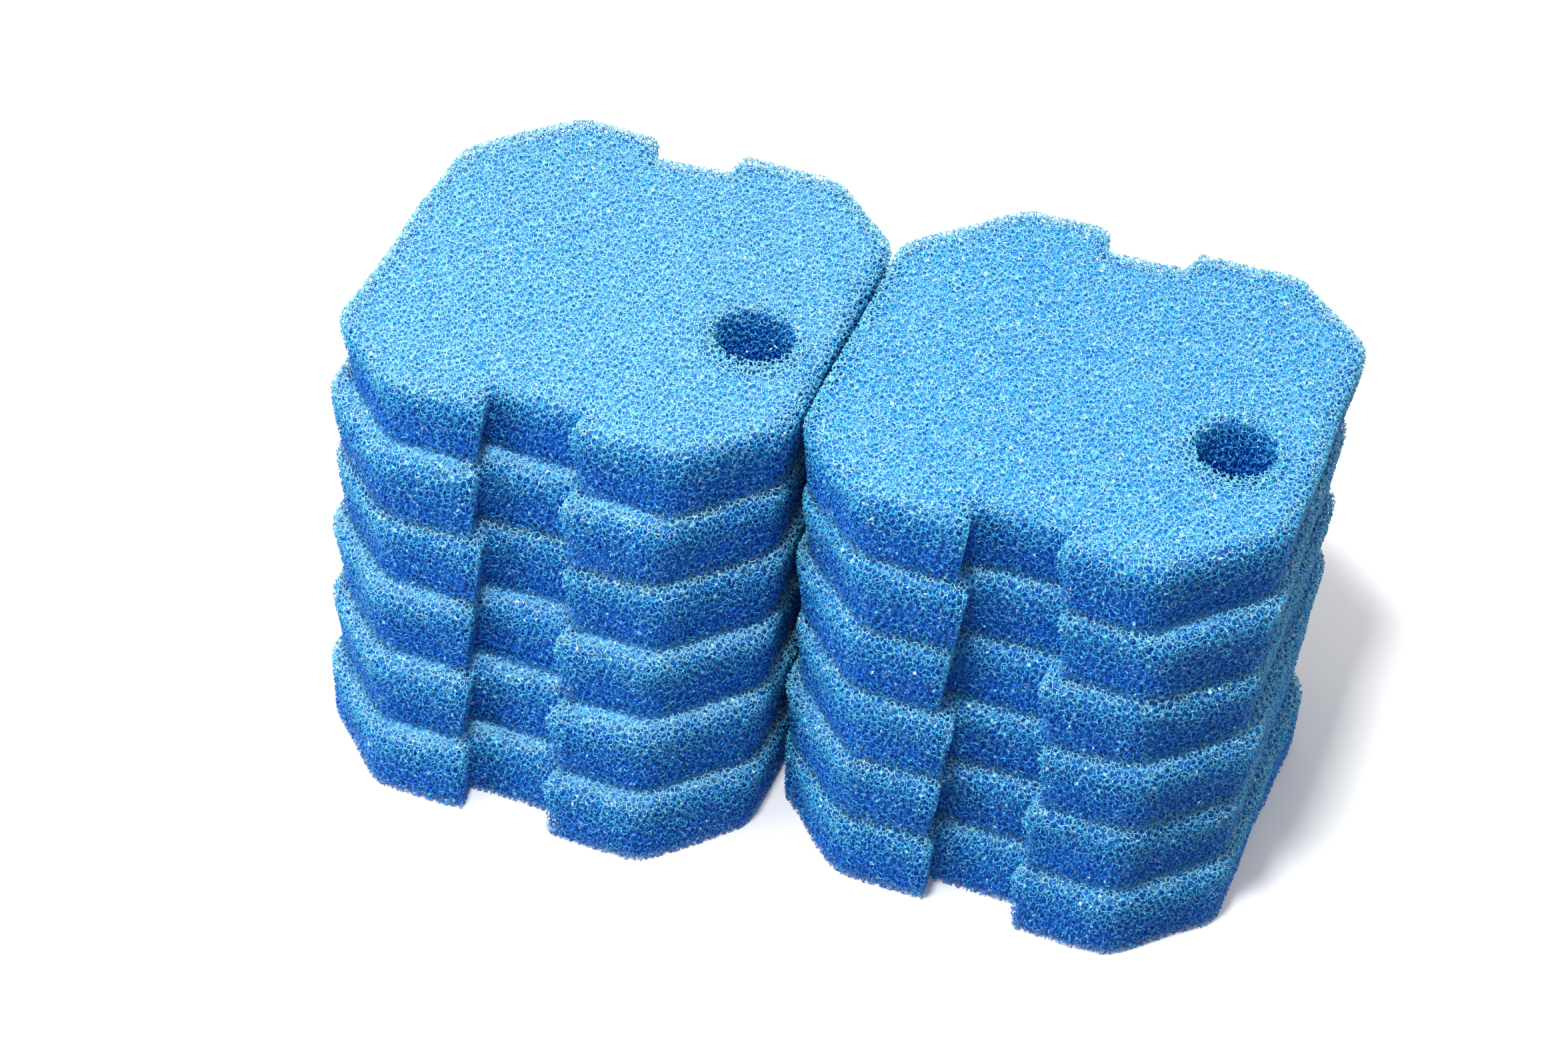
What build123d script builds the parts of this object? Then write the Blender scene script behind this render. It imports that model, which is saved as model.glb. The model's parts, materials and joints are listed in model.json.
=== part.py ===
from build123d import *
import os

# A set of twelve square foam filter pads, cut from coarse open-cell foam and kept as two stacks
# of six that stand side by side. In use they fill the baskets of a pond or aquarium filter.
#
# Frame: +Z is up, +X runs along the row from the left stack to the right one, and the notched
# edges of the pads face -Y (front) and +Y (back). The origin is under the middle of the set, on
# the surface that it stands on. All lengths are in millimetres and all angles in degrees.

# --- one pad ---------------------------------------------------------------------------------
pad_width = 190.0  # along X
pad_depth = 190.0  # along Y
pad_thickness = 34.0
corner_cut = 36.0  # each corner is cut away this far along both edges
corner_rounding = 4.0  # the soft foam has no sharp upright edges
notch_mouth = 38.0  # width of the front and back notch at the pad's edge
notch_floor = 31.0  # and at the bottom of the notch
notch_depth = 12.5
pipe_hole_radius = 16.0
pipe_hole_right = 64.0  # from the pad's middle to the hole's, towards +X
pipe_hole_forward = 12.0  # and towards -Y

# --- the two stacks --------------------------------------------------------------------------
layer_gap = 0.3  # keeps each pad clear of the one below
stack_spacing = 194.0  # between the middles of the two stacks
right_stack_setback = 12.5  # the right stack stands this much further back

# How each pad lies off the middle of its stack, from the bottom pad up:
# to the right, to the back, and turned anticlockwise as seen from above.
left_stack_lie = [(-0.5, -9.5, -0.5), (0, -5, -1), (-1, 0, 0), (-0.5, 4.5, 1), (-0.5, 4, 0.5), (2, 6, 0)]
right_stack_lie = [(-0.5, -0.5, -2), (-2, 0, 0), (1, 0, 0), (-0.5, 1, -1), (0.5, 1, 1), (0, -1, 0)]


def half_outline():
    """Corners of the right-hand half of a pad, from the front notch round to the back one."""
    half_width = pad_width / 2
    half_depth = pad_depth / 2
    front = [
        (notch_floor / 2, -half_depth + notch_depth),
        (notch_mouth / 2, -half_depth),
        (half_width - corner_cut, -half_depth),
        (half_width, -half_depth + corner_cut),
    ]
    back = [(x, -y) for x, y in reversed(front)]
    return front + back


def make_pad():
    """One pad, its middle on the Z axis and its underside at height zero."""
    right_half = half_outline()
    left_half = [(-x, y) for x, y in reversed(right_half)]
    with BuildPart() as pad:
        with BuildSketch():
            Polygon(*right_half, *left_half, align=None)
            fillet(vertices(), radius=corner_rounding)
            with Locations((pipe_hole_right, -pipe_hole_forward)):
                Circle(pipe_hole_radius, mode=Mode.SUBTRACT)
        extrude(amount=pad_thickness)
    return pad.part


def lay_stack(side, lie, middle_x, middle_y):
    """A stack of pads, each a piece of its own, by name."""
    stack = {}
    for layer, (shift_x, shift_y, turn) in enumerate(lie):
        height = layer * (pad_thickness + layer_gap)
        place = Pos(middle_x + shift_x, middle_y + shift_y, height) * Rot(0, 0, turn)
        stack[f"{side}_pad_{layer + 1}"] = place * make_pad()
    return stack


def make_set():
    """Both stacks, moved so that the origin is under the middle of their common box."""
    pads = lay_stack("left", left_stack_lie, 0, 0)
    pads.update(lay_stack("right", right_stack_lie, stack_spacing, right_stack_setback))
    middle = Compound(list(pads.values())).bounding_box().center()
    return {name: Pos(-middle.X, -middle.Y, 0) * pad for name, pad in pads.items()}


os.makedirs("parts", exist_ok=True)
for name, pad in make_set().items():
    export_step(pad, f"parts/{name}.step")
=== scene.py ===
# Twelve pads of coarse blue open-cell foam, in two stacks of six. Each pad is a network of struts,
# cut off at the pad's outline, round a plain inner body that shows dimly between them. The inner body's
# colour is painted shade for the deeper foam, paler where it faces up as painted light.
import json
import math
from itertools import combinations, permutations

import bpy
import numpy as np
from mathutils import Matrix, Vector


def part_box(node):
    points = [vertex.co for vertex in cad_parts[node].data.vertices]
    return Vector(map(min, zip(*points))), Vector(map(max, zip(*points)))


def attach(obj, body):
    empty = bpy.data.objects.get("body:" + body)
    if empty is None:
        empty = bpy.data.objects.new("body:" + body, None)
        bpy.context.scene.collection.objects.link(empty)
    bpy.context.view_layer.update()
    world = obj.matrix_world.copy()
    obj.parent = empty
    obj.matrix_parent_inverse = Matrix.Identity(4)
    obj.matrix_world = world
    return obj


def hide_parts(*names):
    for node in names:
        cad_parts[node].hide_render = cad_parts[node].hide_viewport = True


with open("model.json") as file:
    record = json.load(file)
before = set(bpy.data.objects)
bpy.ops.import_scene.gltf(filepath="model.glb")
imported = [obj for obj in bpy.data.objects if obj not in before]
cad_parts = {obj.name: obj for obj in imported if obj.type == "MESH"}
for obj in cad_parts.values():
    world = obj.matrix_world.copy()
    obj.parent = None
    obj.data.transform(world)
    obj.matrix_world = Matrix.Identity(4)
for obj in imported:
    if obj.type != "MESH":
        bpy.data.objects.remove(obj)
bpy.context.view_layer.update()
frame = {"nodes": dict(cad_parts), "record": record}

MM = 0.001

# --- the shape of a pad, in millimetres, as the CAD pads have it -----------------------------
PAD_SIZE = 190.0
CORNER_CUT = 36.0
NOTCH_DEPTH = 12.5
BACK_MOUTH = 38.0
BACK_FLOOR = 31.0
HOLE_RADIUS = 16.0
HOLE_FROM_MIDDLE = (64.0, -12.0)

# --- how the foam is cut, in millimetres -----------------------------------------------------
FRONT_MOUTH = 34.0  # the front notch is wider inside than at its mouth
FRONT_FLOOR = 38.0
CORNER_SOFTNESS = 5.0  # how round the outline's corners are
NOTCH_SOFTNESS = 1.5
RIM_ROUNDING = 6.0  # how round the upper rim is
UNDERCUT = 3.4  # the side slopes in by this much from the upper rim to the lower one
FLOOR_UNDERCUT = 1.5  # and by this much on the two pads that carry all the others
SAG = 1.6  # the seams between pads rise and dip by up to this much
SAG_LENGTHS = (70, 150)  # over waves of about this length
WAVER = 1.0  # the knife's waver
WAVER_LENGTHS = (25, 70)

# How much more than the true outline is cut off a pad; less than nothing is foam left on.
# Edges: left, right, front, back. Corners: front left, front right, back left, back right.
TRUE_CUT = {"edges": (0, 0, 0, 0), "corners": (0, 0, 0, 0)}
HAND_CUTS = {
    "left_pad_6": {"edges": (3.5, 0, 2.5, -4), "corners": (1.5, 0, 2.5, -4.5)},
    "right_pad_6": {"edges": (0, -1, 2.5, -7.5), "corners": (0, 4.5, -1.5, -7)},
}

# --- the foam itself, in millimetres ---------------------------------------------------------
CELLS_IN_BLOCK = 380
CELL_VOLUME = 23.0
CELL_WIDTH = CELL_VOLUME ** (1 / 3)
BUBBLES_APART = 1.06 * CELL_WIDTH  # bubbles nearer than this push each other away
SPREAD_ROUNDS = 120
SPREAD_STEP = 0.4
RELAX_ROUNDS = 2
RELAX_STEP = 0.35
NODE_RADIUS = 0.30  # from the middle of a node to its rim
SHELL_SEEN = 3.4  # how deep the struts go below a face that shows
SHELL_HIDDEN = 1.1  # and below a face that another pad lies on
RIM_SHELL = 10.0  # round the upper rim they reach this far down and in, added together
FLOOR_GAP = 0.3  # between the underside and the inner body
CORE_OVERLAP = 0.5  # the struts run this far into the inner body
CORE_STEP = 3.0  # the grid that the inner body's surface is found on
STUB = 0.34  # the least length of a strut that the cut goes through
FILM_SHARE = 0.26  # this share of the nodes has a scrap of skin left beside it
FILM_SIZES = (0.9, 1.6)
FILM_TIP = 0.8  # how far a scrap's free corner lies out between its two struts
PAINTED_GLINT_SHARE = 0.09  # and this share of the scraps is painted near white: painted glints
FILM_BEND = 0.15  # a scrap's free corner is out of its plane by this much
PAINTED_SHADE_DEPTH = 2.0  # struts deeper than this are painted a darker, purer blue: painted shade
PAINTED_LIGHT_DEPTH = 4.5  # down to about here from the top, more of them are paler: painted light
PAINTED_LIGHT_SHARES = {"left": 1.0, "right": 0.75}  # and this share of them, at the very top; the left stack gets more of this painted light
PAINTED_SHADE_FROM = 8.0  # below this more and more struts are painted a purer, darker blue: painted shade low in each pad
PAINTED_SHADE_OVER = 20.0
PAINTED_SHADE_SHARE = 0.8  # up to this share of them

PAIRS = list(combinations(range(4), 2))
TRIOS = list(combinations(range(4), 3))


# --- a block of foam that repeats ------------------------------------------------------------
def scatter_bubbles(rng):
    """Bubble middles spread evenly but with no pattern, in a block that repeats."""
    side = (CELLS_IN_BLOCK * CELL_VOLUME) ** (1 / 3)
    bubbles = rng.uniform(0, side, (CELLS_IN_BLOCK, 3))
    for _ in range(SPREAD_ROUNDS):
        gap = bubbles[:, None] - bubbles[None]
        gap -= side * np.round(gap / side)
        far = np.linalg.norm(gap, axis=2) + np.eye(CELLS_IN_BLOCK) * side
        push = np.clip(BUBBLES_APART - far, 0, None) / far
        bubbles = (bubbles + SPREAD_STEP * (gap * push[..., None]).sum(1)) % side
    return bubbles, side


def corners_of_cell(to, trios):
    """The corners of the cell round a bubble at the origin, each with the three neighbours it touches.

    A corner is as far from its three neighbours as from the bubble, and no other neighbour is nearer.
    """
    square = (to * to).sum(1)
    sides = to[trios]
    sound = np.abs(np.linalg.det(sides)) > 1e-6
    trios = trios[sound]
    corner = np.linalg.solve(sides[sound], (square[trios] / 2)[..., None])[..., 0]
    close = (corner * corner).sum(1) < (1.5 * CELL_WIDTH) ** 2
    corner, trios = corner[close], trios[close]
    nearer = square[None] - 2 * corner @ to.T
    np.put_along_axis(nearer, trios, 1.0, 1)
    empty = nearer.min(1) > -1e-9
    return corner[empty], trios[empty]


def make_block(seed):
    """A block of foam: its side, its nodes, and the struts that join them.

    Four cells meet at a node. A strut runs along three of them to the next node, so a node has four
    struts, and a strut's slot says which of the four it is. Its shift is the block it ends in.
    """
    bubbles, side = scatter_bubbles(np.random.default_rng(seed))
    count = len(bubbles)
    shifts = np.array(list(np.ndindex(3, 3, 3))) - 1
    around = (bubbles[None] + shifts[:, None] * side).reshape(-1, 3)
    owner = np.tile(np.arange(count), 27)
    away = np.repeat(shifts, count, axis=0)
    trios = np.array(list(combinations(range(28), 3)))
    nodes, cells, offsets = [], [], []
    for i in range(count):
        to = around - bubbles[i]
        nearest = np.argsort((to * to).sum(1))[1:41]
        corner, touched = corners_of_cell(to[nearest], trios)
        ids = owner[nearest][touched]
        mine = (ids > i).all(1)
        corner, ids, offset = corner[mine], ids[mine], away[nearest][touched][mine]
        order = np.argsort(ids, 1)
        ids = np.take_along_axis(ids, order, 1)
        offset = np.take_along_axis(offset, order[..., None], 1)
        nodes.append(corner + bubbles[i])
        cells.append(np.column_stack([np.full(len(corner), i), ids]))
        offsets.append(np.concatenate([np.zeros((len(corner), 1, 3), int), offset], 1))
    nodes, cells, offsets = map(np.concatenate, (nodes, cells, offsets))
    base = offsets[:, TRIOS][:, :, 0]
    relative = (offsets[:, TRIOS][:, :, 1:] - base[:, :, None]).reshape(len(nodes), 4, 6)
    key = np.concatenate([cells[:, TRIOS], relative], -1).reshape(-1, 9)
    _, which, times = np.unique(key, axis=0, return_inverse=True, return_counts=True)
    order = np.argsort(which.ravel(), kind="stable")
    start = np.cumsum(np.r_[0, times[:-1]])[times == 2]
    a, b = order[start], order[start + 1]
    base = base.reshape(-1, 3)
    struts = {"a": a // 4, "b": b // 4, "slot_a": a % 4, "slot_b": b % 4, "shift": base[a] - base[b]}
    relax(nodes, struts, side)
    return side, nodes, struts


def relax(nodes, struts, side):
    """Pulls each node a little towards its neighbours, as surface tension does."""
    for _ in range(RELAX_ROUNDS):
        pull = np.zeros_like(nodes)
        along = nodes[struts["b"]] + struts["shift"] * side - nodes[struts["a"]]
        np.add.at(pull, struts["a"], along)
        np.add.at(pull, struts["b"], -along)
        nodes += pull / 4 * RELAX_STEP


# --- the shape that a pad is cut to ----------------------------------------------------------
def smooth_max(a, b, k):
    """The larger of two distances, with a soft change from one to the other over k."""
    h = np.clip(0.5 + 0.5 * (a - b) / k, 0, 1)
    return b + (a - b) * h + k * h * (1 - h)


def plan_distance(x, y, edges, corners):
    """How far a point lies outside a pad's outline, seen from above; negative inside."""
    half = PAD_SIZE / 2
    left, right, front, back = edges
    across = np.where(x < 0, left - x, right + x)
    deep = np.where(y < 0, front - y, back + y)
    square = smooth_max(across - half, deep - half, CORNER_SOFTNESS)
    front_trim = np.where(x < 0, corners[0], corners[1])
    back_trim = np.where(x < 0, corners[2], corners[3])
    trim = np.where(y < 0, front_trim, back_trim)
    corner = (np.abs(x) + np.abs(y) - (PAD_SIZE - CORNER_CUT)) / math.sqrt(2) + trim
    octagon = smooth_max(square, corner, CORNER_SOFTNESS)
    mouth = np.where(y < 0, FRONT_MOUTH, BACK_MOUTH)
    floor = np.where(y < 0, FRONT_FLOOR, BACK_FLOOR)
    flare = (mouth - floor) / 2 / NOTCH_DEPTH
    wall = np.abs(x) - floor / 2 - flare * (deep - half + NOTCH_DEPTH)
    notch = smooth_max(wall / np.hypot(1, flare), half - NOTCH_DEPTH - deep, NOTCH_SOFTNESS)
    return smooth_max(octagon, -notch, NOTCH_SOFTNESS)


def side_inset(z, thickness, undercut):
    """How far the cut side lies inside the outline at height z."""
    up = z / thickness
    rounding = np.clip((up - 1) * thickness / RIM_ROUNDING + 1, 0, 1)
    slope = undercut * (1 - np.clip(up / 0.85, 0, 1)) ** 1.15
    return slope + RIM_ROUNDING * (1 - np.sqrt(1 - 0.9 * rounding**2)) * 0.7


def waves(points, rng, count, lengths, height):
    """A sum of slow sine waves with random headings; points are rows of any dimension."""
    shortest, longest = lengths
    total = 0
    for _ in range(count):
        heading = rng.normal(size=points.shape[1])
        heading /= np.linalg.norm(heading)
        length = rng.uniform(shortest, longest)
        total = total + np.sin(points @ heading / length * math.tau + rng.uniform(0, math.tau))
    return total / count * height


def depth_below(points, pad):
    """The depth below the top, the underside and the cut side, for points in a pad's own frame."""
    x, y, z = points.T
    waver = waves(points, np.random.default_rng(pad["seed"]), 5, WAVER_LENGTHS, WAVER)
    outline = plan_distance(x, y, pad["edges"], pad["corners"])
    side = waver - outline - side_inset(z, pad["thickness"], pad["undercut"])
    hole = np.hypot(x - HOLE_FROM_MIDDLE[0], y - HOLE_FROM_MIDDLE[1]) - HOLE_RADIUS
    return pad["thickness"] - z, z, np.minimum(side, hole)


def pad_data(name, seed):
    """A pad's place and turn from the frame, and how it is cut."""
    low, high = (np.array(corner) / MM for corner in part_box(name))
    middle = (low + high) / 2
    mount = next(m for m in frame["record"]["mounts"] if m["name"] == f"{name}_pipe_hole")
    hole = np.array(mount["pos_m"]) / MM - middle
    stack = name.split("_")[0]
    over = [n for n in frame["nodes"] if n.startswith(stack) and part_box(n)[0][2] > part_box(name)[0][2]]
    on_floor = low[2] < 1
    return {
        "seed": seed,
        "middle": middle,
        "floor": low[2],
        "thickness": high[2] - low[2],
        "turn": math.atan2(hole[1], hole[0]) - math.atan2(HOLE_FROM_MIDDLE[1], HOLE_FROM_MIDDLE[0]),
        "shell_top": SHELL_HIDDEN if over else SHELL_SEEN,
        "undercut": FLOOR_UNDERCUT if on_floor else UNDERCUT,
        # painted light: the left stack gets more paler struts near the top
        "painted_light_share": PAINTED_LIGHT_SHARES[stack],
        **HAND_CUTS.get(name, TRUE_CUT),
    }


def seam_height(x, y, side, level):
    """How far the seam under a layer rises or dips; the pads over and under it share it."""
    if level < 1:
        return 0 * x
    rng = np.random.default_rng([5, side, level])
    return waves(np.column_stack([x, y]), rng, 3, SAG_LENGTHS, SAG)


def to_frame(points, pad):
    """From a pad's own frame, in millimetres, to the scene's, in metres."""
    c, s = math.cos(pad["turn"]), math.sin(pad["turn"])
    x = points[:, 0] * c - points[:, 1] * s + pad["middle"][0]
    y = points[:, 0] * s + points[:, 1] * c + pad["middle"][1]
    side = int(pad["middle"][0] > 0)
    level = round(pad["floor"] / pad["thickness"])
    under, over = seam_height(x, y, side, level), seam_height(x, y, side, level + 1)
    rise = points[:, 2] / pad["thickness"]
    return np.column_stack([x, y, pad["floor"] + points[:, 2] + under + (over - under) * rise]) * MM


# --- a pad's struts --------------------------------------------------------------------------
# Each node is a small solid with a point between each two of its struts. A strut's slot has three
# such points round it, and they are the ring that the strut starts from.
RING_OF_SLOT = np.array([[PAIRS.index(pair) for pair in combinations(trio, 2)] for trio in TRIOS])
SLOTS_OF_PAIR = np.array([[s for s, trio in enumerate(TRIOS) if set(pair) <= set(trio)] for pair in PAIRS])
FACES_OF_NODE = np.array([[n for n, pair in enumerate(PAIRS) if cell in pair] for cell in range(4)])
SLOT_OPPOSITE = [next(s for s, trio in enumerate(TRIOS) if cell not in trio) for cell in range(4)]


def random_turn(rng):
    """A rotation matrix with no preferred direction."""
    w, x, y, z = rng.normal(size=4)
    n = w * w + x * x + y * y + z * z
    return np.eye(3) + 2 / n * np.array([
        [-y * y - z * z, x * y - z * w, x * z + y * w],
        [x * y + z * w, -x * x - z * z, y * z - x * w],
        [x * z - y * w, y * z + x * w, -x * x - y * y],
    ])


def fill_with_blocks(block, pad, rng):
    """Copies of the block that cover a pad, turned at random: all node places, and all struts."""
    side, nodes, struts = block
    turn = random_turn(rng)
    start = rng.uniform(0, side, 3)
    half = PAD_SIZE / 2 + 10
    size = np.array([2 * half, 2 * half, pad["thickness"]])
    ends = (np.array(list(np.ndindex(2, 2, 2))) * size - [half, half, 0] - start) @ turn
    low = np.floor(ends.min(0) / side).astype(int) - 1
    high = np.ceil(ends.max(0) / side).astype(int) + 1
    grid = np.meshgrid(*[np.arange(a, b) for a, b in zip(low, high)], indexing="ij")
    tiles = np.stack(grid, -1).reshape(-1, 3)
    middle = (tiles + 0.5) * side @ turn.T + start
    beyond = np.abs(middle - [0, 0, pad["thickness"] / 2]) - size / 2
    tiles = tiles[(beyond < side * 0.9).all(1)]
    number = np.full(high - low + 2, -1)
    number[tuple((tiles - low).T)] = np.arange(len(tiles))
    places = ((tiles[:, None] * side + nodes[None]) @ turn.T + start).reshape(-1, 3)
    a = np.arange(len(tiles))[:, None] * len(nodes) + struts["a"]
    spot = np.clip(tiles[:, None] + struts["shift"][None] - low, -1, np.array(number.shape) - 1)
    tile_b = number[tuple(np.moveaxis(spot, -1, 0))]
    b = tile_b * len(nodes) + struts["b"]
    real = tile_b >= 0
    slot_a = np.broadcast_to(struts["slot_a"], a.shape)
    slot_b = np.broadcast_to(struts["slot_b"], a.shape)
    return places, a[real], b[real], slot_a[real], slot_b[real]


def outward(points, faces, way):
    """The faces, turned over where needed so that each looks the given way."""
    p = points[faces[:, :3]]
    normal = np.cross(p[:, 1] - p[:, 0], p[:, 2] - p[:, 0])
    wrong = (normal * way).sum(1) < 0
    return np.where(wrong[:, None], faces[:, ::-1], faces)


def match_rings(points, near, far):
    """Turns each far ring so that it lines up with its near one."""
    here = points[near] - points[near].mean(1, keepdims=True)
    options = np.stack([far[:, order] for order in permutations(range(3))])
    there = points[options] - points[options].mean(2, keepdims=True)
    best = np.argmax((here * there).sum((2, 3)), axis=0)
    return options[best, np.arange(len(far))]


def tube(points, near, far, way):
    """Three four-sided faces between two rings, facing outwards."""
    p = points[near]
    normal = np.cross(p[:, 1] - p[:, 0], p[:, 2] - p[:, 0])
    wrong = (normal * way).sum(1) < 0
    following = [1, 2, 0]
    quads = np.stack([near, near[:, following], far[:, following], far], -1)
    quads[wrong] = quads[wrong][:, :, ::-1]
    return quads.reshape(-1, 4)


def strut_network(block, pad):
    """A pad's struts in its own frame: points, four-sided faces, triangles, and scraps of skin."""
    rng = np.random.default_rng(pad["seed"])
    places, a, b, slot_a, slot_b = fill_with_blocks(block, pad, rng)
    top, bottom, cut = depth_below(places, pad)
    depth = np.minimum(np.minimum(top, bottom), cut)
    near_face = (top < pad["shell_top"]) | (cut < SHELL_SEEN) | (top + cut < RIM_SHELL)
    keep = (depth > 0) & near_face
    touching = keep[a] | keep[b]
    a, b, slot_a, slot_b = a[touching], b[touching], slot_a[touching], slot_b[touching]
    row = np.full(len(places), -1)
    row[keep] = np.arange(keep.sum())
    centre = places[keep]
    along = places[b] - places[a]
    length = np.linalg.norm(along, axis=1)
    unit = along / np.maximum(length, 1e-6)[:, None]
    ways = np.zeros((len(centre), 4, 3))
    used = np.zeros((len(centre), 4), bool)
    for node, slot, sign in ((a, slot_a, 1), (b, slot_b, -1)):
        mine = keep[node]
        ways[row[node[mine]], slot[mine]] = unit[mine] * sign
        used[row[node[mine]], slot[mine]] = True
    rims = ways[:, SLOTS_OF_PAIR[:, 0]] + ways[:, SLOTS_OF_PAIR[:, 1]]
    rims /= np.maximum(np.linalg.norm(rims, axis=2), 1e-3)[..., None]
    size = NODE_RADIUS * rng.uniform(0.85, 1.15, (len(centre), 1, 1))
    points = (centre[:, None] + rims * size).reshape(-1, 3)
    # struts between two kept nodes
    both = keep[a] & keep[b]
    near = row[a[both]][:, None] * 6 + RING_OF_SLOT[slot_a[both]]
    far = match_rings(points, near, row[b[both]][:, None] * 6 + RING_OF_SLOT[slot_b[both]])
    quads = [tube(points, near, far, unit[both])]
    tris = []
    # struts cut off at the pad's surface, or run on into the inner body
    for here, there, slot, sign in ((a, b, slot_a, 1), (b, a, slot_b, -1)):
        half_kept = keep[here] & ~keep[there]
        h, t, way = here[half_kept], there[half_kept], unit[half_kept] * sign
        near = row[h][:, None] * 6 + RING_OF_SLOT[slot[half_kept]]
        share = np.where(depth[t] < 0, depth[h] / np.maximum(depth[h] - depth[t], 1e-6), 1.0)
        run = np.maximum(length[half_kept] * share, STUB)
        offset = points[near] - places[h][:, None]
        offset -= (offset @ way[..., None]) * way[:, None]
        end = places[h][:, None] + way[:, None] * run[:, None, None] + offset * 0.95
        far = len(points) + np.arange(len(h) * 3).reshape(-1, 3)
        points = np.concatenate([points, end.reshape(-1, 3)])
        quads.append(tube(points, near, far, way))
        tris.append(outward(points, far, way))
    # the four small faces of each node, and a fifth where a strut is missing
    for cell in range(4):
        faces = np.arange(len(centre))[:, None] * 6 + FACES_OF_NODE[cell]
        tris.append(outward(points, faces, -ways[:, SLOT_OPPOSITE[cell]]))
    node, slot = np.nonzero(~used)
    faces = node[:, None] * 6 + RING_OF_SLOT[slot]
    tris.append(outward(points, faces, points[faces].mean(1) - centre[node]))
    points[:, 2] = np.clip(points[:, 2], 0, pad["thickness"])
    return points, np.concatenate(quads), np.concatenate(tris), skin_scraps(centre, ways, used, pad, rng)


def skin_scraps(centre, ways, used, pad, rng):
    """Scraps of the bubbles' skin, each a thin solid with four corners between two struts of a node."""
    picked = np.flatnonzero(rng.random(len(centre)) < FILM_SHARE)
    s, t = SLOTS_OF_PAIR[rng.integers(0, 6, len(picked))].T
    whole = used[picked, s] & used[picked, t]
    picked, s, t = picked[whole], s[whole], t[whole]
    a, b, c = ways[picked, s], ways[picked, t], centre[picked]
    normal = np.cross(a, b)
    normal /= np.maximum(np.linalg.norm(normal, axis=1), 1e-6)[:, None]
    size = rng.uniform(*FILM_SIZES, (len(picked), 1))
    tip = c + (a + b) * size * FILM_TIP + normal * FILM_BEND
    scraps = np.stack([c, c + a * size, c + b * size, tip], 1)
    depth = np.stack(depth_below(scraps.reshape(-1, 3), pad)).min(0).reshape(-1, 4)
    return scraps[(depth > 0.1).all(1)]


def scrap_faces(scraps, first):
    """The four faces of each scrap."""
    faces = np.arange(len(scraps))[:, None, None] * 4 + TRIOS
    points = scraps.reshape(-1, 3)
    middle = scraps.mean(1)[:, None]
    way = (points[faces].mean(2) - middle).reshape(-1, 3)
    return outward(points, faces.reshape(-1, 3), way) + first


# --- the inner body --------------------------------------------------------------------------
def core_net(pad):
    """A closed surface just inside the struts' inner ends, in the pad's own frame."""
    half = PAD_SIZE / 2 + 3 * CORE_STEP
    flat = np.arange(-half, half + CORE_STEP, CORE_STEP)
    rise = np.linspace(-1, pad["thickness"] + 1, 14)
    grid = np.stack(np.meshgrid(flat, flat, rise, indexing="ij"), -1)
    top, bottom, cut = depth_below(grid.reshape(-1, 3), pad)
    depth = np.minimum(top - pad["shell_top"] + CORE_OVERLAP, bottom - FLOOR_GAP)
    depth = np.minimum(depth, cut - SHELL_SEEN + CORE_OVERLAP)
    depth = np.minimum(depth, (top + cut - RIM_SHELL) / math.sqrt(2) + CORE_OVERLAP)
    points, quads = net_over(depth.reshape(grid.shape[:3]))
    return points * [CORE_STEP, CORE_STEP, rise[1] - rise[0]] + [-half, -half, -1], quads


def net_over(depth):
    """A closed net of four-sided faces over the places where the depth turns positive.

    Each grid cube that the surface passes through gets one point, the middle of the places where its
    edges cross the surface, and each crossed edge gets a face that joins the four cubes round it.
    """
    cubes = np.array(depth.shape) - 1
    total = np.zeros((*cubes, 3))
    times = np.zeros(cubes, int)
    grid = np.moveaxis(np.indices(depth.shape), 0, -1).astype(float)
    edges = []
    for axis in range(3):
        ahead = np.moveaxis(depth, axis, 0)[1:]
        here = np.moveaxis(depth, axis, 0)[:-1]
        crossing = (ahead > 0) != (here > 0)
        share = np.where(crossing, here / np.where(crossing, here - ahead, 1), 0)
        spot = np.moveaxis(grid, axis, 0)[:-1].copy()
        spot[..., axis] += share
        crossing, spot = np.moveaxis(crossing, 0, axis), np.moveaxis(spot, 0, axis)
        inside = np.moveaxis(here > 0, 0, axis)
        others = [k for k in range(3) if k != axis]
        for u, v in np.ndindex(2, 2):
            part = [slice(None)] * 3
            part[others[0]] = slice(u, crossing.shape[others[0]] - 1 + u)
            part[others[1]] = slice(v, crossing.shape[others[1]] - 1 + v)
            part = tuple(part)
            total += spot[part] * crossing[part][..., None]
            times += crossing[part]
        edges.append((axis, others, crossing, inside))
    used = times > 0
    number = np.full(cubes, -1)
    number[used] = np.arange(used.sum())
    quads = []
    for axis, others, crossing, inside in edges:
        corners = []
        for u, v in ((0, 0), (1, 0), (1, 1), (0, 1)):
            cube = np.argwhere(crossing)
            cube[:, others[0]] -= u
            cube[:, others[1]] -= v
            corners.append(number[tuple(cube.T)])
        quad = np.column_stack(corners)
        flip = inside[crossing] == (axis == 1)
        quad[flip] = quad[flip][:, ::-1]
        quads.append(quad)
    return total[used] / times[used][:, None], np.concatenate(quads)


# --- materials -------------------------------------------------------------------------------
def glossy_plastic(name, colour, roughness, ior):
    """Foam's own plastic: the colour of a thin strut or skin, with the shine of a smooth surface."""
    material = bpy.data.materials.new(name)
    material.use_nodes = True
    shader = material.node_tree.nodes["Principled BSDF"]
    shader.inputs["Base Color"].default_value = (*colour, 1)
    shader.inputs["Roughness"].default_value = roughness
    shader.inputs["IOR"].default_value = ior
    shader.inputs["Specular IOR Level"].default_value = 0.6
    return material


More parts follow.
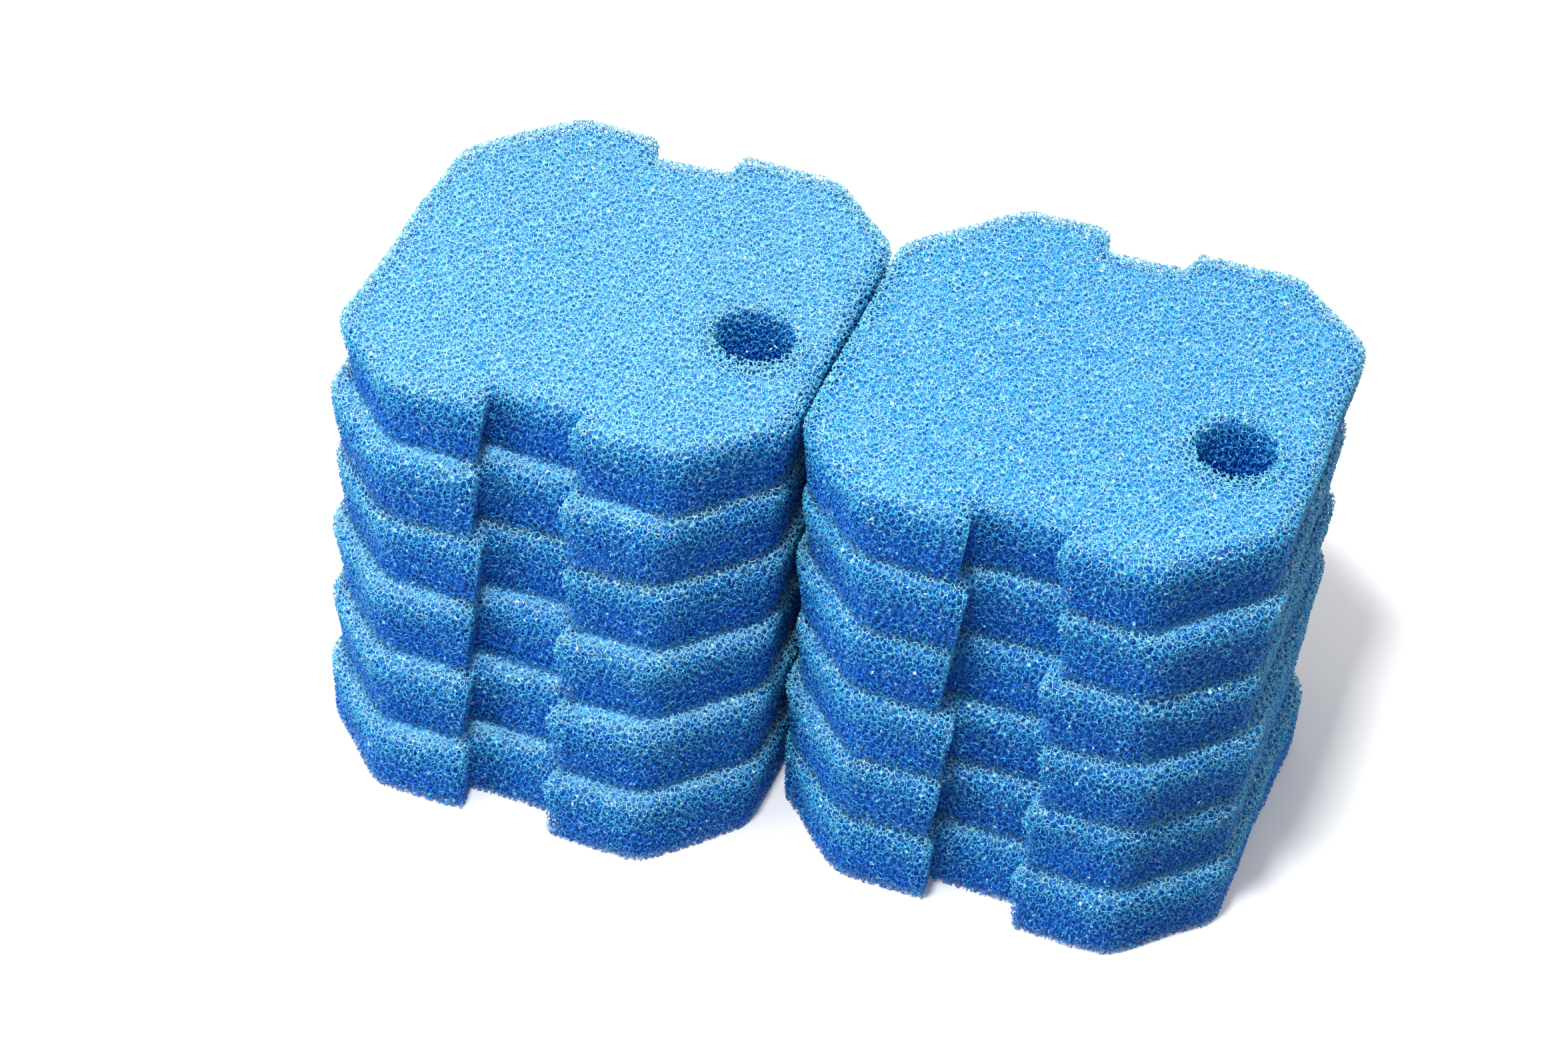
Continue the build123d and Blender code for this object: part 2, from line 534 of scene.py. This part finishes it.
def deep_cells(name, edge, middle, shaded_hollow):
    """The deeper cells on the inner body: lighter where their walls meet, and darker in their hollows as
    painted shade.
    """
    material = bpy.data.materials.new(name)
    material.use_nodes = True
    tree = material.node_tree
    shader = tree.nodes["Principled BSDF"]
    shader.inputs["Roughness"].default_value = 0.7
    place = tree.nodes.new("ShaderNodeTexCoord")
    cells = tree.nodes.new("ShaderNodeTexVoronoi")
    cells.feature = "DISTANCE_TO_EDGE"
    cells.inputs["Scale"].default_value = 1 / (CELL_WIDTH * MM)
    ramp = tree.nodes.new("ShaderNodeValToRGB")
    steps = ramp.color_ramp.elements
    steps[0].position = 0.04
    steps[0].color = (*edge, 1)
    steps[1].position = 0.36
    steps[1].color = (*shaded_hollow, 1)
    steps.new(0.14).color = (*middle, 1)
    tree.links.new(place.outputs["Object"], cells.inputs["Vector"])
    tree.links.new(cells.outputs["Distance"], ramp.inputs["Fac"])
    tree.links.new(ramp.outputs["Color"], shader.inputs["Base Color"])
    return material


FOAM = [
    glossy_plastic("foam_strut_blue", (0.06, 0.57, 0.97), 0.26, 1.55),
    # painted shade: struts deep in the foam and low in each pad
    glossy_plastic("foam_painted_shade_blue", (0.006, 0.25, 0.93), 0.35, 1.5),
    # painted light: paler struts near the top, more of them on the left stack
    glossy_plastic("foam_painted_light_blue", (0.30, 0.71, 0.90), 0.3, 1.6),
    glossy_plastic("foam_skin_blue", (0.22, 0.68, 0.94), 0.34, 1.8),
    # painted glints: a few scraps near white
    glossy_plastic("foam_painted_glint", (0.88, 0.95, 1.0), 0.25, 2.0),
]
STRUT, SHADED_BLUE, LIT_BLUE, SKIN, GLINT = range(5)
CORE = [
    # painted shade: the inner body's cells darker in their hollows
    deep_cells("foam_depth_painted_shade", (0.02, 0.34, 0.90), (0.006, 0.16, 0.72), (0.002, 0.06, 0.42)),
    # painted light: paler material for the inner body's up-facing faces
    deep_cells("foam_depth_painted_light", (0.12, 0.52, 0.88), (0.05, 0.34, 0.78), (0.02, 0.20, 0.62)),
]


# --- the pads --------------------------------------------------------------------------------
def mesh_from(name, points, quads, tris, materials):
    """A smooth mesh from arrays, its four-sided faces first."""
    mesh = bpy.data.meshes.new(name)
    mesh.vertices.add(len(points))
    mesh.vertices.foreach_set("co", np.ascontiguousarray(points, np.float32).ravel())
    loops = np.concatenate([quads.ravel(), tris.ravel()]).astype(np.int32)
    mesh.loops.add(len(loops))
    mesh.loops.foreach_set("vertex_index", loops)
    sizes = np.repeat([4, 3], [len(quads), len(tris)])
    mesh.polygons.add(len(sizes))
    mesh.polygons.foreach_set("loop_start", (np.cumsum(sizes) - sizes).astype(np.int32))
    mesh.update(calc_edges=True)
    mesh.polygons.foreach_set("use_smooth", np.ones(len(sizes), bool))
    for material in materials:
        mesh.materials.append(material)
    return mesh


def strut_painted_light_and_shade(points, pad):
    """The material of the struts at each point: paler near the top as painted light, purer and darker
    below and deeper in as painted shade.
    """
    rng = np.random.default_rng([pad["seed"], 1])
    below, above, within = depth_below(points, pad)
    below = np.clip(below, 0, None)
    chance = rng.random(len(points) // 6 + 1)[np.arange(len(points)) // 6]
    # painted light: struts near the top are more often paler
    pale = chance < pad["painted_light_share"] * np.exp(-((below / PAINTED_LIGHT_DEPTH) ** 1.5))
    # painted shade: deep struts, and more and more of the low ones, get the darker, purer blue
    deep = np.minimum(np.minimum(below, above), within) > PAINTED_SHADE_DEPTH
    painted_shade = deep | (chance > 1 - np.clip((below - PAINTED_SHADE_FROM) / PAINTED_SHADE_OVER, 0, PAINTED_SHADE_SHARE))
    return np.where(pale, LIT_BLUE, np.where(painted_shade, SHADED_BLUE, STRUT))


def add_piece(name, mesh, pad_name):
    """Puts a soft piece of a pad in the scene, on the body that carries the pad."""
    piece = bpy.data.objects.new(name, mesh)
    bpy.context.scene.collection.objects.link(piece)
    bodies = frame["record"]["behaviour"]["bodies"]
    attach(piece, next(body for body, nodes in bodies.items() if pad_name in nodes))
    return piece


def make_struts(name, pad, block):
    """A pad's visible foam, which takes the place of its plain CAD solid."""
    points, quads, tris, scraps = strut_network(block, pad)
    colours = strut_painted_light_and_shade(points, pad)
    scrap_tris = scrap_faces(scraps, len(points))
    rng = np.random.default_rng([pad["seed"], 2])
    # painted glints: a share of the scraps gets the near-white material
    scrap_colours_and_glints = np.where(rng.random(len(scraps)) < PAINTED_GLINT_SHARE, GLINT, SKIN)
    slots = np.concatenate([colours[quads[:, 0]], colours[tris[:, 0]], np.repeat(scrap_colours_and_glints, 4)])
    flat = np.repeat([False, True], [len(quads) + len(tris), len(scrap_tris)])
    everything = np.concatenate([points, scraps.reshape(-1, 3)])
    all_tris = np.concatenate([tris, scrap_tris])
    mesh = mesh_from(name, to_frame(everything, pad), quads, all_tris, FOAM)
    mesh.polygons.foreach_set("material_index", slots.astype(np.int32))
    mesh.polygons.foreach_set("use_smooth", ~flat)
    return mesh


def make_core(name, pad):
    """A pad's inner body, paler where it faces up: painted light."""
    points, quads = core_net(pad)
    mesh = mesh_from(name, to_frame(points, pad), quads, np.zeros((0, 3), int), CORE)
    normals = np.empty(len(mesh.polygons) * 3)
    mesh.polygons.foreach_get("normal", normals)
    # painted light: faces turned up get the paler material
    mesh.polygons.foreach_set("material_index", (normals[2::3] > 0.4).astype(np.int32))
    return mesh


def make_pads():
    block = make_block(11)
    for number, name in enumerate(sorted(frame["nodes"])):
        pad = pad_data(name, 100 + number)
        cells_name = name.replace("pad", "cells")
        cells = add_piece(cells_name, make_struts(cells_name, pad, block), name)
        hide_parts(name)
        core_name = name.replace("pad", "core")
        add_piece(core_name, make_core(core_name, pad), name)


# --- floor, light and camera -----------------------------------------------------------------
CAMERA_PLACE = (0.3381, -1.0920, 1.1180)
CAMERA_TURN = -18.081  # degrees from the +Y direction; less than nothing is to the left
CAMERA_DOWN = 41.409
CAMERA_ROLL = 2.616
CAMERA_LENS = 86.5


def make_floor():
    """A plain white floor whose own light doesn't fall back on the foam."""
    reach = 6.0
    mesh = bpy.data.meshes.new("floor")
    corners = [(-reach, -reach, 0), (reach, -reach, 0), (reach, reach, 0), (-reach, reach, 0)]
    mesh.from_pydata(corners, [], [(0, 1, 2, 3)])
    mesh.materials.append(bpy.data.materials.new("floor_white"))
    mesh.materials[0].use_nodes = True
    shader = mesh.materials[0].node_tree.nodes["Principled BSDF"]
    shader.inputs["Base Color"].default_value = (0.95, 0.95, 0.95, 1)
    shader.inputs["Roughness"].default_value = 0.9
    floor = bpy.data.objects.new("floor", mesh)
    floor.visible_diffuse = False
    bpy.context.scene.collection.objects.link(floor)


def make_light(name, place, aim, width, power):
    """A square soft lamp."""
    light = bpy.data.lights.new(name, "AREA")
    light.shape = "SQUARE"
    light.size = width
    light.energy = power
    lamp = bpy.data.objects.new(name, light)
    lamp.location = place
    lamp.rotation_euler = (Vector(aim) - Vector(place)).to_track_quat("-Z", "Y").to_euler()
    bpy.context.scene.collection.objects.link(lamp)


def make_world():
    """Soft white light, most of it from overhead."""
    world = bpy.data.worlds.new("studio")
    world.use_nodes = True
    tree = world.node_tree
    place = tree.nodes.new("ShaderNodeTexCoord")
    split = tree.nodes.new("ShaderNodeSeparateXYZ")
    rise = tree.nodes.new("ShaderNodeMath")
    rise.operation = "MAXIMUM"
    rise.inputs[1].default_value = 0.0
    square = tree.nodes.new("ShaderNodeMath")
    square.operation = "POWER"
    square.inputs[1].default_value = 2.0
    strength = tree.nodes.new("ShaderNodeMapRange")
    strength.inputs["To Min"].default_value = 0.24
    strength.inputs["To Max"].default_value = 1.05
    background = tree.nodes["Background"]
    background.inputs["Color"].default_value = (1, 1, 1, 1)
    tree.links.new(place.outputs["Generated"], split.inputs["Vector"])
    tree.links.new(split.outputs["Z"], rise.inputs[0])
    tree.links.new(rise.outputs["Value"], square.inputs[0])
    tree.links.new(square.outputs["Value"], strength.inputs["Value"])
    tree.links.new(strength.outputs["Result"], background.inputs["Strength"])
    bpy.context.scene.world = world


def make_camera():
    """A long lens at the front, looking down and a little to the left."""
    turn = math.radians(CAMERA_TURN)
    down = math.radians(CAMERA_DOWN)
    roll = math.radians(CAMERA_ROLL)
    ahead = Vector((math.sin(turn) * math.cos(down), math.cos(turn) * math.cos(down), -math.sin(down)))
    right = Vector((math.cos(turn), -math.sin(turn), 0))
    up = right.cross(ahead)
    rolled_right = right * math.cos(roll) + up * math.sin(roll)
    rolled_up = up * math.cos(roll) - right * math.sin(roll)
    data = bpy.data.cameras.new("camera")
    data.lens = CAMERA_LENS
    data.sensor_width = 36.0
    data.clip_end = 50
    camera = bpy.data.objects.new("camera", data)
    rotation = Matrix((rolled_right, rolled_up, -ahead)).transposed().to_4x4()
    camera.matrix_world = Matrix.Translation(CAMERA_PLACE) @ rotation
    bpy.context.scene.collection.objects.link(camera)
    bpy.context.scene.camera = camera


make_pads()
make_floor()
make_light("key", (0.02, -0.47, 1.6), (0, 0, 0.1), 0.18, 20)
make_light("left fill", (-0.9, -0.1, 1.0), (-0.05, 0, 0.1), 0.6, 2)
make_light("front fill", (-0.95, -0.85, 0.5), (0, 0, 0.1), 0.5, 8)
make_light("back fill", (0.9, 1.1, 0.6), (0, 0, 0.1), 0.6, 1.5)
make_world()
make_camera()
bpy.context.scene.view_settings.view_transform = "Standard"
